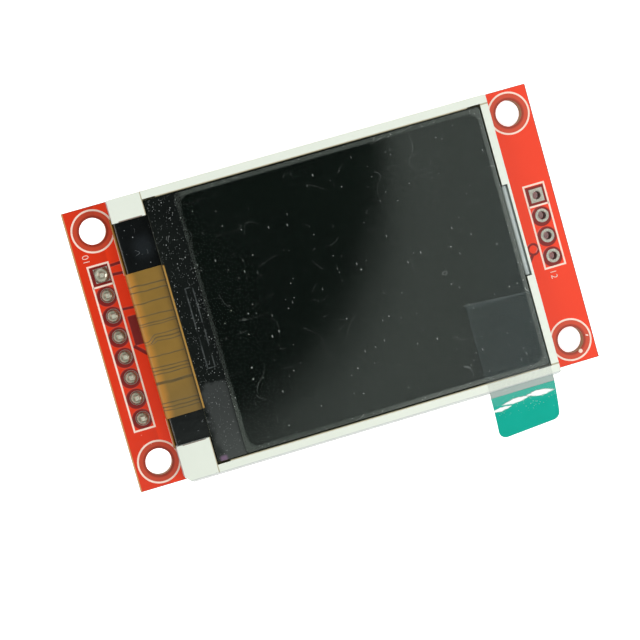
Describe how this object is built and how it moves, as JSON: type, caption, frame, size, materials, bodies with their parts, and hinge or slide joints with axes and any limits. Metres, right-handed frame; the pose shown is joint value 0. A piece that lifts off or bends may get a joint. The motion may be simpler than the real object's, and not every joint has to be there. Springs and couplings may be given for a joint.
{
  "type": "colour display module",
  "caption": "Small backlit colour display on a circuit board with a pin header, spare plated holes and a memory card socket behind.",
  "frame": {"origin": "centre of the four mounting holes on the board's back face", "axes": "+X along the board from the pin header to the spare row, +Y across it, +Z out of the display"},
  "size_m": [0.0582, 0.0406, 0.013],
  "materials": {
    "board": "glossy red solder mask over glass laminate",
    "plating": "plated copper pads and hole walls",
    "solder": "dull bright solder",
    "pins": "gold-plated square pins",
    "strip": "black moulded plastic",
    "foam": "white foam tape",
    "frame": "white moulded plastic",
    "reflector": "white reflector sheet",
    "guide": "clear acrylic",
    "sheet": "translucent film",
    "led": "white diode package",
    "black_tape": "black adhesive tape",
    "polariser": "dark polarising film",
    "glass": "dark display glass",
    "sealant": "cured clear resin",
    "chip": "bare silicon chip",
    "flex": "amber polyimide flex",
    "film": "clear protective film",
    "clear_tape": "clear adhesive tape",
    "tab": "teal plastic film",
    "socket_plastic": "black moulded plastic",
    "socket_steel": "stamped tinned steel",
    "package": "black moulded package",
    "ceramic": "tan ceramic",
    "resistor": "black coated ceramic"
  },
  "bodies": {
    "root": {"plated_holes": "plating", "header_pads": "plating", "printed_board": "board", "header_solder": "solder", "header_pins": "pins", "header_strip": "strip", "mounting_foam": "foam", "display_frame": "frame", "reflector_sheet": "reflector", "light_guide": "guide", "backlight_flex": "flex", "backlight_leds": "led", "diffuser_sheet": "sheet", "lower_prism_sheet": "sheet", "upper_prism_sheet": "sheet", "rim_tape": "black_tape", "rear_polariser": "polariser", "rear_glass": "glass", "front_glass": "glass", "fill_seal": "sealant", "driver_chip": "chip", "ledge_tape": "black_tape", "flex_cable": "flex", "flex_contacts": "solder", "front_polariser": "polariser", "protective_film": "film", "clear_tape": "clear_tape", "pull_tab": "tab", "socket_base": "socket_plastic", "socket_shell": "socket_steel", "socket_contacts": "pins", "socket_switch": "pins", "regulator_body": "package", "regulator_leads": "solder", "capacitor_bodies": "ceramic", "capacitor_ends": "solder", "resistor_bodies": "resistor", "resistor_ends": "solder"}
  },
  "joints": []
}
